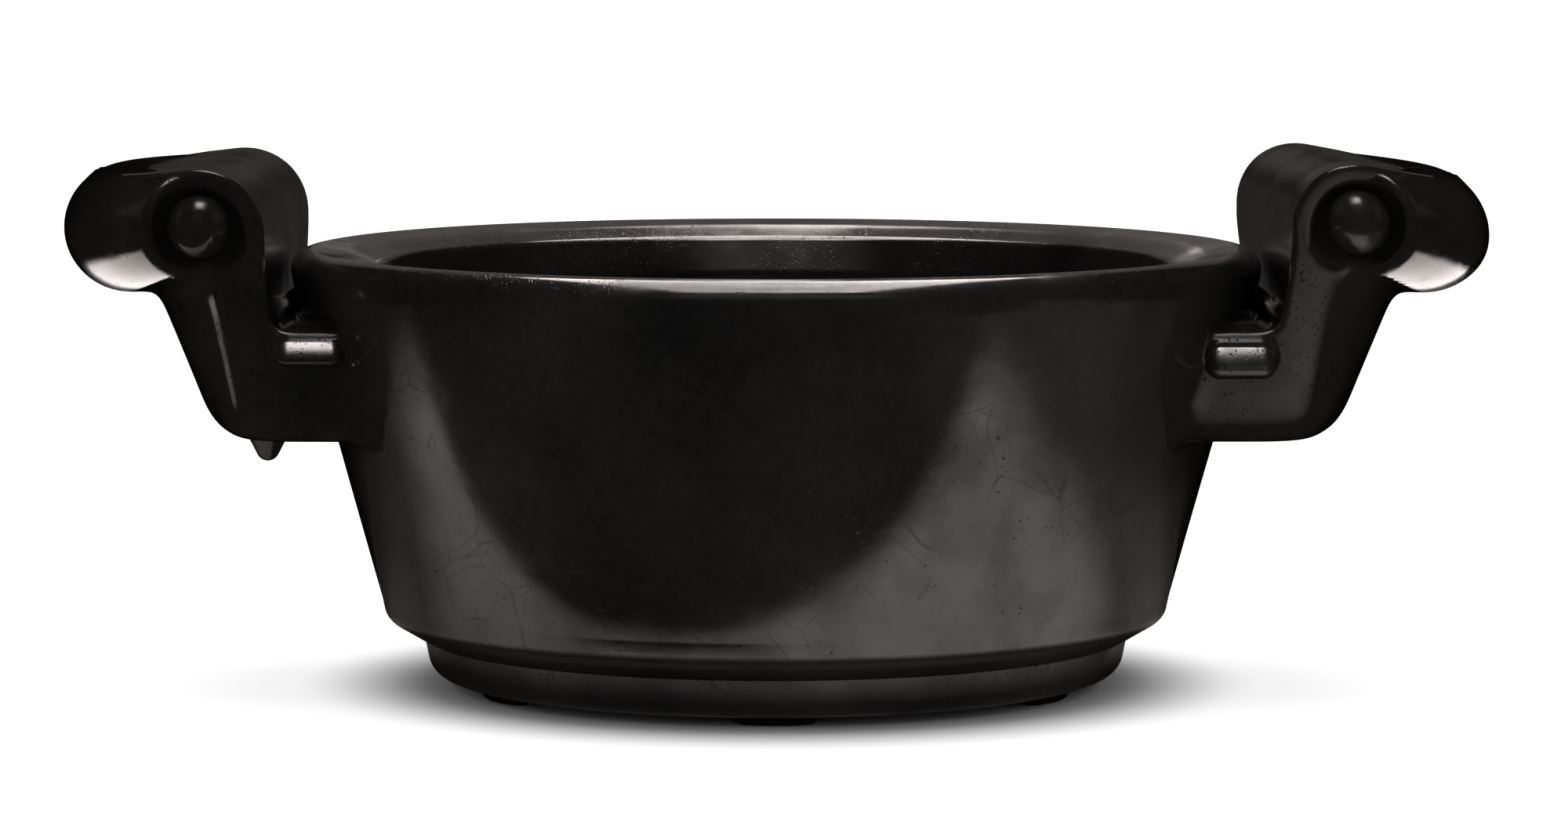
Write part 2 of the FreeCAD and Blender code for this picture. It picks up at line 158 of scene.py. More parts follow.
def arc_corner(before, corner, after, radius, steps):
    """Points that round one corner of an outline with an arc."""
    before, corner, after = (np.array(p, float) for p in (before, corner, after))
    into = (before - corner) / np.linalg.norm(before - corner)
    out = (after - corner) / np.linalg.norm(after - corner)
    half = 0.5 * math.acos(float(np.clip(into @ out, -1, 1)))
    reach = radius / math.tan(half)
    centre = corner + (into + out) / np.linalg.norm(into + out) * radius / math.sin(half)
    first = corner + into * reach - centre
    last = corner + out * reach - centre
    turn = math.atan2(first[0] * last[1] - first[1] * last[0], float(first @ last))
    points = []
    for step in range(steps + 1):
        angle = turn * step / steps
        cos, sin = math.cos(angle), math.sin(angle)
        points.append(centre + np.array([cos * first[0] - sin * first[1],
                                         sin * first[0] + cos * first[1]]))
    return points


def rounded_outline(corners, longest=2.5, steps=12):
    """A closed outline from (radius, height, rounding) corners, with long runs divided."""
    rough = []
    count = len(corners)
    for index, (radius, height, rounding) in enumerate(corners):
        if rounding:
            rough += arc_corner(corners[index - 1][:2], (radius, height),
                                corners[(index + 1) % count][:2], rounding, steps)
        else:
            rough.append(np.array([radius, height], float))
    outline = []
    for start, end in zip(rough, rough[1:] + rough[:1]):
        pieces = max(1, int(np.linalg.norm(end - start) / longest))
        outline += [start + (end - start) * part / pieces for part in range(pieces)]
    return outline


def mark_sharp(piece, degrees):
    """Keep edges that turn by more than the angle crisp in shading."""
    piece.data.set_sharp_from_angle(angle=math.radians(degrees))


def lathe(name, corners, segments=560, on_axis=False):
    """A solid turned about the Z axis; on_axis leaves out the last run, which is the axis."""
    outline = rounded_outline(corners)
    outline = np.array([p for p in outline if not (on_axis and p[0] < 0.01)])
    turns = np.linspace(0, 2 * math.pi, segments, endpoint=False)
    rings = len(outline)
    points = np.empty((rings, segments, 3))
    points[:, :, 0] = outline[:, :1] * np.cos(turns)
    points[:, :, 1] = outline[:, :1] * np.sin(turns)
    points[:, :, 2] = outline[:, 1:]
    points = points.reshape(-1, 3)
    faces = []
    last = rings - 1 if on_axis else rings
    for ring in range(last):
        low = ring * segments
        high = (ring + 1) % rings * segments
        for turn in range(segments):
            after = (turn + 1) % segments
            faces.append((low + turn, low + after, high + after, high + turn))
    if on_axis:
        points = np.vstack([points, [[0, 0, outline[0, 1]], [0, 0, outline[-1, 1]]]])
        first_hub = rings * segments
        top = (rings - 1) * segments
        for turn in range(segments):
            after = (turn + 1) % segments
            faces.append((first_hub, after, turn))
            faces.append((first_hub + 1, top + turn, top + after))
    piece = make_mesh(name, points, faces)
    mark_sharp(piece, 40)
    return piece


# ---- solids as distance functions ------------------------------------------------------------
# Each function gives the distance of points to a solid's surface, negative inside.

def soft_union(a, b, size):
    """Union of two solids whose meeting line is filled smoothly."""
    overlap = np.maximum(size - np.abs(a - b), 0) / size
    return np.minimum(a, b) - overlap ** 3 * size / 6


def soft_common(a, b, size):
    """Common part of two solids, with its edge rounded smoothly."""
    return -soft_union(-a, -b, size)


def arc_common(a, b, radius):
    """Common part of two solids, with its edge rounded by an arc."""
    return (np.minimum(np.maximum(a + radius, b + radius), 0)
            + np.hypot(np.maximum(a + radius, 0), np.maximum(b + radius, 0)) - radius)


def wall_distance(x, y, z):
    surface = WALL_LOW_RADIUS + WALL_SLOPE * (z - WALL_LOW_Z)
    outside = (np.hypot(x, y) - surface) * math.cos(math.atan(WALL_SLOPE))
    return np.maximum(outside, z - WALL_HIGH_Z + 0.5)


def strap_line_z(x):
    """Height of the strap's top face above a place along X."""
    return STRAP_TOP_Z - STRAP_FALL * (x - STRAP_INNER_X)


def hood_distance(x, z, inset):
    """The space under the strap's outer face, moved inward by inset."""
    tilt = math.cos(math.atan(STRAP_FALL))
    return arc_common(STRAP_INNER_X + inset - x, (z - strap_line_z(x)) * tilt + inset,
                      STRAP_CURL - inset)


def strap_distance(x, y, z):
    sheet = np.maximum(hood_distance(x, z, 0), -hood_distance(x, z, STRAP_THICKNESS))
    trim = np.hypot(x - BOW_X, y) - STRAP_TRIM_RADIUS
    sheet = arc_common(sheet, np.abs(y) - STRAP_HALF_WIDTH, STRAP_EDGE)
    sheet = arc_common(sheet, trim, STRAP_EDGE)
    return np.maximum(sheet, STRAP_FOOT_Z - z)


def bow_share(x, y):
    """Place along the bow: 0 in the middle, 1 at the scroll's ends."""
    return np.abs(np.arctan2(y, x - BOW_X)) / BOW_END


def roll_distance(x, y, z):
    share = bow_share(x, y)
    thin = np.minimum(share, 1.15) ** 2
    radius = ROLL_MID_RADIUS - (ROLL_MID_RADIUS - ROLL_END_RADIUS) * thin
    height = ROLL_MID_Z + (ROLL_END_Z - ROLL_MID_Z) * thin
    tube = np.hypot(np.hypot(x - BOW_X, y) - BOW_RADIUS, z - height) - radius
    beyond = (share - 1) * BOW_END * BOW_RADIUS
    return arc_common(tube, beyond, ROLL_LIP)


def end_frame(end):
    """Centre of the scroll's end, the way it faces and the way to the bow's outside."""
    sign = -1 if end == "front" else 1
    outside = np.array([math.cos(BOW_END), sign * math.sin(BOW_END), 0])
    facing = np.array([-math.sin(BOW_END), sign * math.cos(BOW_END), 0])
    centre = np.array([BOW_X, 0, ROLL_END_Z]) + BOW_RADIUS * outside
    return centre, facing, outside


def ball_distance(x, y, z, centre, radius):
    return np.sqrt((x - centre[0]) ** 2 + (y - centre[1]) ** 2 + (z - centre[2]) ** 2) - radius


def eye_centre(end):
    centre, facing, outside = end_frame(end)
    return centre + facing * 1.9 - outside * 1.5 - np.array([0, 0, 0.2])


def cup_distance(x, y, z, end):
    """The ball-shaped hollow in a scroll's end."""
    centre, facing, _ = end_frame(end)
    radius = (CUP_RADIUS ** 2 + CUP_DEPTH ** 2) / (2 * CUP_DEPTH)
    return ball_distance(x, y, z, centre + facing * (radius - CUP_DEPTH), radius)


def mouth_distance(x, y, z, end):
    """The cup, run on outward as a tube, so that nothing stands in front of it."""
    centre, facing, outside = end_frame(end)
    ahead = (x - centre[0]) * facing[0] + (y - centre[1]) * facing[1]
    aside = (x - centre[0]) * outside[0] + (y - centre[1]) * outside[1]
    tube = np.maximum(np.hypot(aside, z - centre[2]) - CUP_RADIUS, -ahead)
    return np.minimum(tube, cup_distance(x, y, z, end))


def scroll_distance(x, y, z):
    solid = roll_distance(x, y, z)
    for end in ENDS:
        solid = soft_common(solid, -cup_distance(x, y, z, end), 2.0)
    return solid


def peg_distance(x, y, z):
    """Both pegs: lips of clay that swell from the ledge out over the block's side."""
    swell = np.hypot((np.abs(y) - PEG_START_Y) / PEG_REACH, (z - PEG_LOW_Z - 1.6) / PEG_SWELL)
    lip = arc_common((swell - 1) * PEG_SWELL, PEG_LOW_Z - z, 2.4)
    lip = arc_common(lip, np.abs(x - PEG_MID_X) - PEG_HALF_LENGTH, 4.5)
    return np.maximum(lip, PEG_START_Y - np.abs(y))


def tower_distance(x, y, z):
    """The part of the block under the strap and scroll, bowed outside."""
    up = (z - BLOCK_LOW_Z) / BLOCK_RISE
    reach = BLOCK_LOW_X + BLOCK_LEAN * up
    sagitta = np.maximum(BLOCK_SWELL + BLOCK_SWELL * up, 4.0)
    radius = (BLOCK_HALF_WIDTH ** 2 + sagitta ** 2) / (2 * sagitta)
    true_to_lean = 0.92            # cosine of the face's lean, about
    bow = (np.hypot(x - (reach - radius), y) - radius) * true_to_lean
    sides = np.abs(y) - BLOCK_HALF_WIDTH
    low = BLOCK_LOW_Z - z
    around = soft_common(bow, sides, 13.0)
    return soft_common(around, low, 11.0)


def block_distance(x, y, z):
    """The whole block: a tower under the strap, and a base whose ledge runs back to the wall."""
    profile = soft_union(hood_distance(x, z, 0.05), z - LEDGE_Z, 9.0)
    block = arc_common(tower_distance(x, y, z), profile, STRAP_EDGE)
    for end in ENDS:
        block = soft_common(block, -mouth_distance(x, y, z, end), 4.0)
    return block


def wall_fillet(z):
    """Size of the fillet between block and wall: soft on the sides, tight under and on top."""
    return np.interp(z, [LEDGE_Z - 27, LEDGE_Z - 19, LEDGE_Z - 8, LEDGE_Z - 1], [3, 8, 9, 3])


def blend_into(block, neighbour, fillet, cover):
    """The block with its fillet onto a neighbour, kept to the fillet and a thin cover inside."""
    joined = soft_union(block, neighbour, fillet) + SKIN
    joined = np.maximum(joined, block - fillet)
    return np.maximum(joined, -(neighbour + cover))


def bracket_distance(x, y, z):
    """The block, run smoothly into wall, scroll and pegs, without what belongs to those."""
    wall = wall_distance(x, y, z)
    scroll = scroll_distance(x, y, z)
    peg = peg_distance(x, y, z)
    block = block_distance(x, y, z)
    whole = blend_into(block, wall, wall_fillet(z), 2.0)
    whole = np.minimum(whole, blend_into(block, scroll, ROLL_FILLET, 1.5))
    whole = np.minimum(whole, blend_into(block, peg, PEG_FILLET, 1.5))
    whole = np.maximum(whole, -(wall + 2.0))
    whole = np.maximum(whole, -(scroll + 1.5))
    return np.maximum(whole, -(peg + 1.5))


def drip_distance(x, y, z):
    """A fat drop that hangs from the block: a steep cone with a round tip."""
    aside = np.hypot(x - DRIP_X, y - DRIP_Y)
    up = z - (DRIP_TIP_Z + DRIP_TIP_RADIUS)
    cos, sin = math.cos(DRIP_LEAN), math.sin(DRIP_LEAN)
    cone = aside * cos - up * sin
    ball = np.hypot(aside, up)
    drop = np.where(aside * sin + up * cos < 0, ball, cone)
    return np.maximum(drop - DRIP_TIP_RADIUS, z - DRIP_TIP_Z - DRIP_LENGTH)


def gradient(distance, points, step=0.05):
    columns = []
    for axis in range(3):
        shift = np.zeros(3)
        shift[axis] = step
        columns.append((distance(*(points + shift).T) - distance(*(points - shift).T))
                       / (2 * step))
    return np.stack(columns, axis=1)


def settle(distance, points, rounds):
    """Move points onto the surface along its gradient."""
    for _ in range(rounds):
        slope = gradient(distance, points)
        value = distance(*points.T)
        size = np.maximum((slope ** 2).sum(1), 0.2)
        move = -value / size
        points = points + np.clip(move, -0.5, 0.5)[:, None] * slope
    return points


def net_faces(inside, cell_index, shape):
    """Four-sided faces, one for each grid edge that crosses the surface."""
    faces = []
    for axis in range(3):
        u, v = (axis + 1) % 3, (axis + 2) % 3
        low = [slice(None)] * 3
        high = [slice(None)] * 3
        low[axis], high[axis] = slice(None, -1), slice(1, None)
        crossing = inside[tuple(low)] != inside[tuple(high)]
        places = np.argwhere(crossing)
        places = places[(places[:, u] > 0) & (places[:, v] > 0)
                        & (places[:, u] < shape[u] - 1) & (places[:, v] < shape[v] - 1)]
        starts_inside = inside[tuple(places.T)]
        corners = []
        for du, dv in ((1, 1), (0, 1), (0, 0), (1, 0)):
            cell = places.copy()
            cell[:, u] -= du
            cell[:, v] -= dv
            corners.append(cell_index[tuple(cell.T)])
        quads = np.stack(corners, axis=1)
        quads[~starts_inside] = quads[~starts_inside][:, ::-1]
        faces.append(quads)
    return np.concatenate(faces)


def relax(points, faces, rounds, distance):
    """Even out the faces: each point drifts to its neighbours' middle and back to the surface."""
    links = np.concatenate([faces[:, [k, (k + 1) % 4]] for k in range(4)])
    links = np.concatenate([links, links[:, ::-1]])
    count = np.bincount(links[:, 0], minlength=len(points))[:, None]
    for _ in range(rounds):
        total = np.zeros_like(points)
        for axis in range(3):
            total[:, axis] = np.bincount(links[:, 0], weights=points[links[:, 1], axis],
                                         minlength=len(points))
        points = points + 0.5 * (total / np.maximum(count, 1) - points)
        points = settle(distance, points, 1)
    return points


def skin(distance, low, high, cell, rounds=3):
    """Points and faces of a solid's surface inside a box, as an even net of four-sided faces."""
    axes = [np.arange(a - cell, b + 2 * cell, cell) for a, b in zip(low, high)]
    grid = np.meshgrid(*axes, indexing="ij")
    value = distance(*grid)
    inside = value < 0
    shape = value.shape
    cells = tuple(size - 1 for size in shape)
    total = np.zeros(cells + (3,))
    crossings = np.zeros(cells)
    for axis in range(3):
        u, v = (axis + 1) % 3, (axis + 2) % 3
        low_end = [slice(None)] * 3
        high_end = [slice(None)] * 3
        low_end[axis], high_end[axis] = slice(None, -1), slice(1, None)
        first, last = value[tuple(low_end)], value[tuple(high_end)]
        crossing = (first < 0) != (last < 0)
        part = np.where(crossing, first / np.where(crossing, first - last, 1), 0)
        for du in (0, 1):
            for dv in (0, 1):
                corner = [slice(None)] * 3
                corner[axis] = slice(None)
                corner[u] = slice(du, du + cells[u])
                corner[v] = slice(dv, dv + cells[v])
                hit = crossing[tuple(corner)]
                crossings += hit
                total[..., axis] += np.where(hit, part[tuple(corner)], 0)
                total[..., u] += hit * du
                total[..., v] += hit * dv
    used = crossings > 0
    cell_index = np.full(cells, -1)
    cell_index[used] = np.arange(used.sum())
    start = np.array([axis[0] for axis in axes])
    points = start + cell * (np.argwhere(used) + total[used] / crossings[used][:, None])
    faces = net_faces(inside, cell_index, shape)
    points = settle(distance, points, 2)
    points = relax(points, faces, rounds, distance)
    points = settle(distance, points, 2)
    return points, faces


def hand_set(points, twist, lift, dip):
    """How a handle was set by hand: twisted about Z, lifted at its inner side, dipped outside."""
    x, y, z = points.T
    share = np.clip((z - LEDGE_Z) / 22.0, 0, 1)
    share = share * share * (3 - 2 * share)
    push = np.zeros_like(points)
    push[:, 0] = -twist * share * y / STRAP_HALF_WIDTH
    push[:, 2] = share * (lift - dip * (x - STRAP_INNER_X) / 45.0)
    return points + push


def side_pair(node, distance, low, high, cell, rounds=3):
    """A piece of the right handle, and its mirror image on the left."""
    points, faces = skin(distance, low, high, cell, rounds)
    right = hand_set(points, twist=2.7, lift=2.4, dip=3.4)
    left = hand_set(points, twist=1.0, lift=0.0, dip=0.0) * np.array([-1, 1, 1])
    return [make_mesh("right_" + node, right, faces.tolist()),
            make_mesh("left_" + node, left, faces[:, ::-1].tolist())]


# ---- pieces ----------------------------------------------------------------------------------

def make_bowl():
    """Wall, rim coil and foot ring, each turned from (radius, height, rounding) corners."""
    inside_low = WALL_LOW_RADIUS - WALL_THICKNESS + WALL_SLOPE * (FLOOR_TOP_Z - WALL_LOW_Z)
    wall = lathe("bowl_wall", [
        (0, FLOOR_LOW_Z, 0),
        (FOOT_INNER_RADIUS, FLOOR_LOW_Z, 0),
        (FOOT_INNER_RADIUS, FOOT_TOP_Z, 0),
        (FOOT_RADIUS, FOOT_TOP_Z, 0),
        (WALL_LOW_RADIUS + 0.25, WALL_LOW_Z - 0.3, 4.5),
        (WALL_LOW_RADIUS + WALL_SLOPE * WAIST_HEIGHT, WALL_LOW_Z + WAIST_HEIGHT, 10.0),
        (WALL_HIGH_RADIUS, WALL_HIGH_Z, 0),
        (WALL_HIGH_RADIUS - WALL_THICKNESS, WALL_HIGH_Z, 0),
        (inside_low, FLOOR_TOP_Z, 12.0),
        (0, FLOOR_TOP_Z, 0),
    ], on_axis=True)
    shoulder = 3.5                 # the coil follows the wall's slope this far up
    smear = 11.0                   # and is smeared this far down inside it
    rim = lathe("rim_coil", [
        (WALL_HIGH_RADIUS - WALL_THICKNESS, WALL_HIGH_Z, 0),
        (WALL_HIGH_RADIUS, WALL_HIGH_Z, 0),
        (WALL_HIGH_RADIUS + WALL_SLOPE * shoulder, WALL_HIGH_Z + shoulder, 14.0),
        (RIM_RADIUS, RIM_CREST_Z, 5.2),
        (RIM_RADIUS - 7.0, RIM_CREST_Z, 14.0),
        (RIM_MOUTH_RADIUS + 7.0, RIM_CREST_Z - 1.2, 20.0),
        (RIM_MOUTH_RADIUS, RIM_CREST_Z - 4.2, 2.2),
        (RIM_MOUTH_RADIUS - 3.2, WALL_HIGH_Z - 4.5, 6.0),
        (WALL_HIGH_RADIUS - WALL_THICKNESS - WALL_SLOPE * smear, WALL_HIGH_Z - smear, 0),
    ])
    foot = lathe("foot_ring", [
        (FOOT_INNER_RADIUS, FOOT_LOW_Z, 2.0),
        (FOOT_RADIUS - 2.2, FOOT_LOW_Z, 6.0),
        (FOOT_RADIUS - 0.2, FOOT_TOP_Z, 0),
        (FOOT_INNER_RADIUS, FOOT_TOP_Z, 0),
    ])
    return wall, rim, foot


def pad_distance(x, y, z):
    """The foremost pad: a low rounded lump, flat underneath."""
    across = np.hypot(x / PAD_HALF_LENGTH, (y + PAD_Y) / PAD_HALF_WIDTH) - 1
    upright = np.abs(z - PAD_HALF_HEIGHT) - PAD_HALF_HEIGHT
    return arc_common(across * PAD_HALF_WIDTH, upright, 1.4)


def make_pads():
    """The foremost pad, and the same one turned to the other places under the foot."""
    pads = []
    points, faces = skin(pad_distance, (-11, -83, 0), (11, -74, 3.3), 0.6)
    points[:, 2] = np.maximum(points[:, 2], 0)
    for number in range(PAD_COUNT):
        turn = math.radians(360 / PAD_COUNT * number)
        cos, sin = math.cos(turn), math.sin(turn)
        turned = points @ np.array([[cos, sin, 0], [-sin, cos, 0], [0, 0, 1]])
        pads.append(make_mesh("foot_pad_%d" % (number + 1), turned, faces.tolist(),
                              uneven=False))
    return pads


def make_handles():
    """Both handles. Each piece is skinned inside a box, from low to high corner, in fine cells."""
    pieces = []
    pieces += side_pair("bracket", bracket_distance, (92, -68, 64), (175, 68, 132), 0.9)
    pieces += side_pair("strap", strap_distance, (124, -60, 91), (175, 60, 137), 0.75)
    pieces += side_pair("scroll", scroll_distance, (128, -68, 98), (185, 68, 136), 0.8)
    for end in ENDS:
        centre = eye_centre(end)
        sign = -1 if end == "front" else 1

        def eye_distance(x, y, z):
            return ball_distance(x, y, z, centre, EYE_RADIUS)

        def one_peg(x, y, z):
            return np.maximum(peg_distance(x, y, z), -sign * y)

        pieces += side_pair("eye_" + end, eye_distance,
                            tuple(centre - 8), tuple(centre + 8), 0.6)
        near, far = sorted((sign * 43, sign * 63))
        pegs = side_pair("peg_" + end, one_peg, (103, near, 85), (128, far, 98), 0.6)
        for corner in pegs[0].data.vertices:
            corner.co.z -= RIGHT_PEG_STRETCH * max(0.0, LEDGE_Z * MM - corner.co.z)
        pieces += pegs
    points, faces = skin(drip_distance, (-137, -38, 59), (-120, -22, 71), 0.5)
    pieces.append(make_mesh("left_drip", points, faces.tolist()))
    return pieces


# ---- materials -------------------------------------------------------------------------------

class Nodes:
    """Short ways to add and join shader nodes."""

    def __init__(self, material):
        material.use_nodes = True
        self.tree = material.node_tree
        self.shader = self.tree.nodes["Principled BSDF"]
        self.place = self.tree.nodes.new("ShaderNodeTexCoord").outputs["Object"]

    def add(self, kind, values=None, **settings):
        node = self.tree.nodes.new("ShaderNode" + kind)
        for setting, value in settings.items():
            setattr(node, setting, value)
        for socket, value in (values or {}).items():
            self.give(node.inputs[socket], value)
        return node

    def give(self, socket, value):
        if isinstance(value, bpy.types.NodeSocket):
            self.tree.links.new(value, socket)
        else:
            socket.default_value = value

    def math(self, operation, first, second=0.0):
        node = self.add("Math", operation=operation)
        self.give(node.inputs[0], first)
        self.give(node.inputs[1], second)
        return node.outputs["Value"]

    def noise(self, scale, detail):
        return self.add("TexNoise", {"Vector": self.place, "Scale": scale,
                                     "Detail": detail}).outputs["Fac"]

    def band(self, value, low, high, out_low=0.0, out_high=1.0):
        """A smooth step of value from low to high, given as out_low to out_high."""
        return self.add("MapRange", {"Value": value, "From Min": low, "From Max": high,
                                     "To Min": out_low, "To Max": out_high},
                        interpolation_type="SMOOTHSTEP").outputs["Result"]

    def shaken_place(self, scale, detail, reach):
        """The place on the piece, pushed about by a noise of up to reach metres."""
        shake = self.add("TexNoise", {"Vector": self.place, "Scale": scale, "Detail": detail})
        offset = self.add("VectorMath", {"Vector": shake.outputs["Color"], "Scale": reach},
                          operation="SCALE")
        place = self.add("VectorMath", {0: self.place, 1: offset.outputs["Vector"]},
                         operation="ADD")
        return place.outputs["Vector"]

    def radius(self, x, y):
        """Distance from the Z axis."""
        square = self.math("ADD", self.math("MULTIPLY", x, x), self.math("MULTIPLY", y, y))
        return self.math("SQRT", square)


def pit_mask(nodes, size, share):
    """Ragged pits: 1 in a pit. Share is how many of the cells hold one."""
    place = nodes.shaken_place(0.9 / size, 2.0, size * 0.9)
    cells = nodes.add("TexVoronoi", {"Vector": place, "Scale": 1 / size})
    chance = nodes.add("SeparateColor", {"Color": cells.outputs["Color"]}).outputs["Red"]
    chosen = nodes.math("LESS_THAN", chance, share)
    reach = nodes.band(cells.outputs["Distance"], 0.18, 0.36, 1.0, 0.0)
    return nodes.math("MULTIPLY", chosen, reach)


def hairline_mask(nodes, size, width):
    """Fine wandering lines, broken off here and there, about size apart."""
    place = nodes.shaken_place(0.5 / size, 1.0, size)
    cells = nodes.add("TexVoronoi", {"Vector": place, "Scale": 1 / size},
                      feature="DISTANCE_TO_EDGE")
    line = nodes.band(cells.outputs["Distance"], 0.0, width / size, 1.0, 0.0)
    return nodes.math("MULTIPLY", line, nodes.band(nodes.noise(45.0, 2.0), 0.46, 0.58))


DARK_CLAY = (0.0042, 0.0039, 0.0037, 1)
PALE_CLAY = (0.0115, 0.0102, 0.0092, 1)
CLAY_IOR = 1.52
FINE_PIT = 0.0008              # sizes in metres
COARSE_PIT = 0.0016
HAIRLINES = ((0.022, 0.00032), (0.013, 0.00024))    # how far apart, and how wide


def clay_material(name, gloss, pits, scratches, worn):
    """Burnished black clay. Gloss is about its mean roughness; the rest set its flaws."""
    material = bpy.data.materials.new(name)
    nodes = Nodes(material)
    cloud = nodes.noise(22.0, 6.0)
    speckle = nodes.noise(420.0, 3.0)
    mottled = nodes.math("ADD", nodes.math("MULTIPLY", cloud, 0.75),
                         nodes.math("MULTIPLY", speckle, 0.25))
    ramp = nodes.add("ValToRGB", {"Fac": mottled})
    ramp.color_ramp.elements[0].position = 0.35
    ramp.color_ramp.elements[0].color = DARK_CLAY
    ramp.color_ramp.elements[1].position = 0.68
    ramp.color_ramp.elements[1].color = PALE_CLAY

    pit = pit_mask(nodes, FINE_PIT, pits)
    pit = nodes.math("MAXIMUM", pit, pit_mask(nodes, COARSE_PIT, pits * 0.35))
    crowded = nodes.band(nodes.noise(48.0, 3.0), 0.43, 0.58)
    pit = nodes.math("MULTIPLY", pit, crowded)
    lines = [hairline_mask(nodes, size, width) for size, width in HAIRLINES]
    scratch = nodes.math("MAXIMUM", *lines)
    scratch = nodes.math("MULTIPLY", scratch, scratches)
    rub = nodes.band(nodes.noise(70.0, 5.0), 0.55, 0.75, 0.0, worn)

    uneven = nodes.band(nodes.noise(34.0, 4.0), 0.3, 0.7, gloss * 0.75, gloss * 1.35)
    rough = nodes.math("ADD", uneven, nodes.math("MULTIPLY", rub, 0.25))
    rough = nodes.math("ADD", rough, nodes.math("MULTIPLY", scratch, 0.05))
    rough = nodes.math("ADD", rough, nodes.math("MULTIPLY", pit, 0.06))

    height = nodes.math("MULTIPLY", nodes.noise(26.0, 2.0), 0.35)
    height = nodes.math("ADD", height, nodes.math("MULTIPLY", nodes.noise(160.0, 2.0), 0.035))
    height = nodes.math("ADD", height, nodes.math("MULTIPLY", nodes.noise(900.0, 2.0), 0.003))
    height = nodes.math("SUBTRACT", height, nodes.math("MULTIPLY", pit, 0.035))
    bump = nodes.add("Bump", {"Height": height, "Strength": 1.0, "Distance": 0.001})

    shine = nodes.math("ADD", nodes.band(nodes.noise(60.0, 5.0), 0.34, 0.66, 0.26, 0.44),
                       nodes.band(nodes.noise(21.0, 3.0), 0.35, 0.65, 0.05, 0.20))
    dull = nodes.math("MAXIMUM", nodes.math("MULTIPLY", pit, 0.8),
                      nodes.math("MULTIPLY", scratch, 0.35))
    shine = nodes.math("MULTIPLY", shine, nodes.math("SUBTRACT", 1.0, dull))

    nodes.give(nodes.shader.inputs["Specular IOR Level"], shine)
    nodes.give(nodes.shader.inputs["Base Color"], ramp.outputs["Color"])
    nodes.give(nodes.shader.inputs["Roughness"], rough)
    nodes.give(nodes.shader.inputs["Normal"], bump.outputs["Normal"])
    nodes.shader.inputs["IOR"].default_value = CLAY_IOR
    return material


def clay_materials():
    """One clay for each of the record's material slots, and a duller one for the pegs."""
    return {
        "bowl_clay": clay_material("bowl_clay", gloss=0.13, pits=0.05, scratches=1.0, worn=0.25),
        "rim_clay": clay_material("rim_clay", gloss=0.15, pits=0.45, scratches=0.3, worn=0.3),
        "handle_clay": clay_material("handle_clay", gloss=0.13, pits=0.22, scratches=0.3,
                                     worn=0.5),
        "peg_clay": clay_material("peg_clay", gloss=0.26, pits=0.5, scratches=0.2, worn=0.6),
        "foot_clay": clay_material("foot_clay", gloss=0.24, pits=0.30, scratches=0.6, worn=1.0),
    }


# ---- stage -----------------------------------------------------------------------------------
# The highlights come from glowing cards that only reflections see, each shown to chosen pieces.
# They are placed to give the photograph's highlights, and aren't a record of its real lights.

GLOW_COLOUR = (1.0, 0.92, 0.89, 1)

def stage_mesh(name, corners):
    """A flat four-cornered sheet, from corners in metres."""
    mesh = bpy.data.meshes.new(name)
    mesh.from_pydata(corners, [], [(0, 1, 2, 3)])
    sheet = bpy.data.objects.new(name, mesh)
    bpy.context.scene.collection.objects.link(sheet)
    return sheet


def reflection_only(item):
    """Hide a card from everything but reflections."""
    item.visible_camera = False
    item.visible_diffuse = False
    item.visible_transmission = False
    item.visible_volume_scatter = False
    item.visible_shadow = False


def glow_material(name):
    """A glow that hides nothing behind it; gives the material, its nodes and its strength."""
    material = bpy.data.materials.new(name)
    nodes = Nodes(material)
    glow = nodes.add("Emission", {"Color": GLOW_COLOUR})
    both = nodes.add("AddShader", {0: glow.outputs[0],
                                   1: nodes.add("BsdfTransparent").outputs[0]})
    output = nodes.tree.nodes["Material Output"].inputs["Surface"]
    nodes.tree.links.new(both.outputs[0], output)
    return material, nodes, glow.inputs["Strength"]


def show_only_to(card, pieces):
    """Let a card light these pieces and no others."""
    seen_by = bpy.data.collections.new(card.name + "_seen_by")
    for piece in pieces:
        seen_by.objects.link(piece)
    card.light_linking.receiver_collection = seen_by


def reflection_card(name, centre, across, up, strength, pieces=None, soft=0.02, ragged=0.0):
    """A glowing card with its centre and two half-side directions, in metres.

    Its edges fade out over the share soft of its half sides, and wander by the share ragged.
    Given pieces, only they show it.
    """
    centre, across, up = Vector(centre), Vector(across), Vector(up)
    card = stage_mesh(name, [centre - across - up, centre + across - up,
                             centre + across + up, centre - across + up])
    material, nodes, output = glow_material(name + "_glow")
    glow = strength
    wander = nodes.math("MULTIPLY", nodes.noise(22.0, 3.0), ragged)
    for half in (across, up):
        axis = nodes.add("VectorMath", {"Vector": nodes.place}, operation="DOT_PRODUCT")
        axis.inputs[1].default_value = half / half.length_squared
        shift = nodes.math("SUBTRACT", axis.outputs["Value"],
                           centre.dot(half) / half.length_squared)
        reach = nodes.math("ADD", nodes.math("ABSOLUTE", shift), wander)
        edge = nodes.band(reach, 1.0 - soft, 1.0, 1.0, 0.0)
        glow = nodes.math("MULTIPLY", edge, glow)
    nodes.give(output, glow)
    card.data.materials.append(material)
    reflection_only(card)
    if pieces:
        show_only_to(card, pieces)


SHEET_START_Y = -0.147         # the lit sheet's front line at X 0, and its fall along X
SHEET_FALL = 0.348


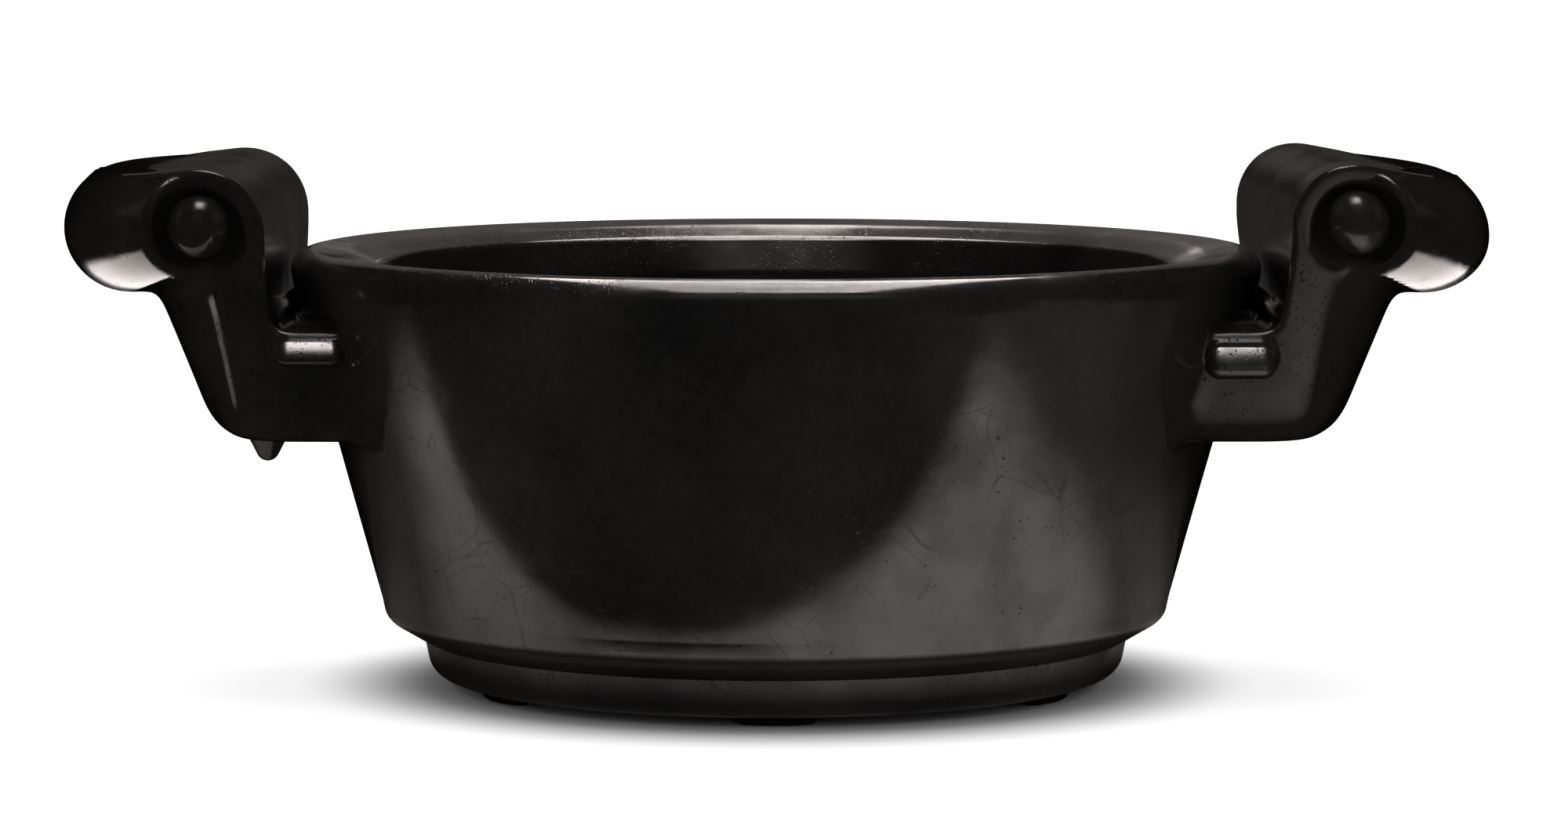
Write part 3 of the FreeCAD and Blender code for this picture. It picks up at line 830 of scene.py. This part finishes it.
def lit_sheet():
    """The lit strip of floor before the pot, as the pot mirrors it: it starts at a slanted line."""
    left, right, back = -0.45, 0.42, 0.15

    def front(x):
        return SHEET_START_Y - SHEET_FALL * x

    sheet = stage_mesh("lit_sheet", [(left, front(left), -0.001), (right, front(right), -0.001),
                                     (right, back, -0.001), (left, back, -0.001)])
    material, nodes, output = glow_material("lit_sheet_glow")
    parts = nodes.add("SeparateXYZ", {"Vector": nodes.place}).outputs
    x, y = parts["X"], parts["Y"]
    behind = nodes.math("ADD", nodes.math("SUBTRACT", y, SHEET_START_Y),
                        nodes.math("MULTIPLY", x, SHEET_FALL))
    near_edge = nodes.band(x, 0.02, 0.12, 0.010, 0.030)
    edge = nodes.band(nodes.math("DIVIDE", behind, near_edge), 0.0, 1.0)
    past = nodes.math("MULTIPLY", nodes.math("MINIMUM", nodes.math("ADD", x, 0.12), 0.0),
                      SHEET_FALL)
    fade = nodes.band(nodes.math("ADD", y, past), -0.105, 0.010, 1.0, 0.0)
    glow = nodes.math("MULTIPLY", edge, fade)
    glow = nodes.math("MULTIPLY", glow, nodes.band(x, 0.145, 0.215, 1.0, 0.10))
    faint = nodes.math("MULTIPLY", nodes.band(x, 0.19, 0.25, 1.0, 0.25),
                       nodes.band(y, 0.0, 0.12, 0.14, 0.02))
    faint = nodes.math("MULTIPLY", edge, faint)
    glow = nodes.math("MAXIMUM", glow, faint)
    # Painted shadow: the sheet's glow is dimmed round the pot's foot, where the mirrored floor lies
    # in the pot's shade.
    glow = nodes.math("MULTIPLY", glow, nodes.band(nodes.radius(x, y), 0.102, 0.124, 0.05, 1.0))
    glow = nodes.math("MULTIPLY", glow, nodes.band(x, -0.33, -0.26, 0.0, 1.0))
    glow = nodes.math("MULTIPLY", glow, nodes.band(x, -0.10, 0.04, 0.95, 1.6))
    nodes.give(output, glow)
    sheet.data.materials.append(material)
    reflection_only(sheet)
    return sheet


FLOOR_GREY = 0.5
FLOOR_GLOW = 0.70
# Painted shadow: the floor's glow fades out towards the pot's axis, darkening the floor round the
# foot.
PAINTED_SHADE_RADIUS = 0.086           # the floor's glow starts here, under the pot,
CLEAR_RADIUS = 0.126           # and is full from here on


def make_floor():
    """Pale floor that glows a little, but not under the pot: a painted shadow that deepens the real
    shade round the foot.
    """
    far = 15
    floor = stage_mesh("floor", [(-far, -far, 0), (far, -far, 0), (far, far, 0), (-far, far, 0)])
    material = bpy.data.materials.new("floor_pale")
    nodes = Nodes(material)
    nodes.shader.inputs["Base Color"].default_value = (FLOOR_GREY, FLOOR_GREY, FLOOR_GREY, 1)
    nodes.shader.inputs["Roughness"].default_value = 1.0
    nodes.shader.inputs["Specular IOR Level"].default_value = 0.0
    nodes.shader.inputs["Emission Color"].default_value = (1, 1, 1, 1)
    parts = nodes.add("SeparateXYZ", {"Vector": nodes.place}).outputs
    glow = nodes.band(nodes.radius(parts["X"], parts["Y"]), PAINTED_SHADE_RADIUS, CLEAR_RADIUS,
                      0.0, FLOOR_GLOW)
    nodes.give(nodes.shader.inputs["Emission Strength"], glow)
    material.cycles.emission_sampling = "NONE"
    floor.data.materials.append(material)
    floor.visible_glossy = False


def add_soft_sun(name, tilt, width, strength):
    """Even light from above, tilted to the back, as wide as the given angle in degrees."""
    light = bpy.data.lights.new(name, "SUN")
    light.angle = math.radians(width)
    light.energy = strength
    item = bpy.data.objects.new(name, light)
    item.rotation_euler = (math.radians(-tilt), 0, 0)
    bpy.context.scene.collection.objects.link(item)
    item.visible_glossy = False


def make_cards(pieces):
    """The lit sheet, softboxes and reflectors, each shown to chosen pieces. Sizes in metres."""
    def named(*endings):
        return [piece for piece in pieces
                if piece.name.removesuffix(PIECE_ENDING).endswith(endings)]

    def right_front():
        return [piece for piece in named("bracket", "strap", "peg_front")
                if piece.name.startswith("right")]

    bowl = named("bowl_wall", "rim_coil", "foot_ring")
    pegs = named("peg_front", "peg_back")
    eyes_and_drip = named("eye_front", "eye_back", "drip")
    handles = named("bracket", "strap", "scroll", "eye_front", "eye_back", "drip")
    wall, rim, strap = named("bowl_wall"), named("rim_coil"), named("strap")
    show_only_to(lit_sheet(), bowl + pegs + eyes_and_drip)

    # Above the pot.
    reflection_card("softbox", (0, -0.12, 1.1), across=(0.42, 0, 0), up=(0, 0.85, 0),
                    strength=20.0, pieces=bowl, soft=0.06)
    reflection_card("peg_softbox", (0, -0.12, 1.1), across=(0.40, 0, 0), up=(0, 0.75, 0),
                    strength=34.0, pieces=pegs, soft=0.8)
    reflection_card("handle_softbox", (0, -0.05, 1.1), across=(0.30, 0, 0), up=(0, 0.42, 0),
                    strength=18.0, pieces=handles, soft=0.75)
    reflection_card("rim_softbox", (-0.023, 2.6, 2.3), across=(0.12, 0, 0),
                    up=(0, -0.45, 0.50), strength=4.5, pieces=rim, soft=0.3)
    reflection_card("rim_end_card", (0.13, 3.0, 0.50), across=(0.08, 0, 0), up=(0, 0, 0.07),
                    strength=3.0, pieces=rim, soft=0.5)

    # Around the pot.
    reflection_card("front_card", (0, -3.0, 2.3), across=(1.5, 0, 0), up=(0, 0, 1.8),
                    strength=0.10, soft=0.6)
    reflection_card("inside_card", (0, -3.0, 1.5), across=(2.0, 0, 0), up=(0, 0, 0.9),
                    strength=0.34, pieces=wall + rim, soft=0.5)
    for name, side in (("left_card", -3.0), ("right_card", 3.0)):
        reflection_card(name, (side, 0, 2.0), across=(0, 1.5, 0), up=(0, 0, 1.4),
                        strength=0.10, pieces=handles, soft=0.3)
    reflection_card("back_floor_card", (0.03, 0.29, -0.002), across=(0.12, 0, 0),
                    up=(0.04, 0.15, 0), strength=1.2, pieces=wall, soft=0.3)
    reflection_card("back_card", (0, 3.0, 2.3), across=(1.5, 0, 0), up=(0, 0, 1.9),
                    strength=0.14, pieces=wall + rim + strap, soft=0.2)
    reflection_card("strap_card", (0, 3.0, 0.25), across=(2.0, 0, 0), up=(0, 0, 0.6),
                    strength=0.035, pieces=strap, soft=0.3)
    reflection_card("crest_card", (0.1, 3.0, 0.44), across=(1.2, 0, 0), up=(0, 0, 0.13),
                    strength=0.25, pieces=rim, soft=0.4)
    reflection_card("front_right_card", (0.55, -0.85, 0.0), across=(0.85, 0, 0),
                    up=(0, 0, 0.42), strength=0.75, pieces=right_front(), soft=0.95)

    # On the floor beside the handles.
    reflection_card("left_floor_card", (-0.52, -0.16, -0.002), across=(0.04, 0, 0),
                    up=(0, 0.06, 0), strength=4.0, pieces=named("left_bracket"), soft=0.2)
    for name, side in (("left_grip_card", -0.24), ("right_grip_card", 0.22)):
        reflection_card(name, (side, 0.12, -0.002), across=(0.13, 0, 0), up=(0, 0.23, 0),
                        strength=3.2, pieces=named("scroll"), soft=0.35, ragged=0.35)


WORLD_STRENGTH = 0.8


def make_stage(pieces):
    """Floor, cards, one soft sun and a white world that gives no reflections."""
    make_floor()
    make_cards(pieces)
    add_soft_sun("overhead", tilt=6, width=50, strength=1.6)
    world = bpy.data.worlds.new("studio")
    world.use_nodes = True
    world.node_tree.nodes["Background"].inputs["Color"].default_value = (1, 1, 1, 1)
    world.node_tree.nodes["Background"].inputs["Strength"].default_value = WORLD_STRENGTH
    world.cycles_visibility.glossy = False
    bpy.context.scene.world = world
    bpy.context.scene.view_settings.view_transform = "Standard"


CAMERA_PLACE = (0.0022, -1.5, 0.211)
CAMERA_DOWN = 5.4              # degrees below level
LENS = 133.9                   # focal length in millimetres, over a sensor 36 wide


def make_camera():
    """The photograph's angle: a little above the handles, looking slightly down."""
    camera = bpy.data.cameras.new("camera")
    camera.sensor_width = 36
    camera.lens = LENS
    item = bpy.data.objects.new("camera", camera)
    item.location = CAMERA_PLACE
    item.rotation_euler = (math.radians(90 - CAMERA_DOWN), 0, 0)
    bpy.context.scene.collection.objects.link(item)
    bpy.context.scene.camera = item


# ---- assembly --------------------------------------------------------------------------------

def assemble():
    clays = clay_materials()
    slots = {entry["node"]: entry["material_slot"] for entry in frame["record"]["subparts"]}
    pieces = list(make_bowl()) + make_pads() + make_handles()
    for piece in pieces:
        node = piece.name.removesuffix(PIECE_ENDING)
        piece.data.materials.append(clays["peg_clay" if "_peg_" in node else slots[node]])
        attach(piece, "root")
        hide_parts(node)
    return pieces


make_camera()
make_stage(assemble())
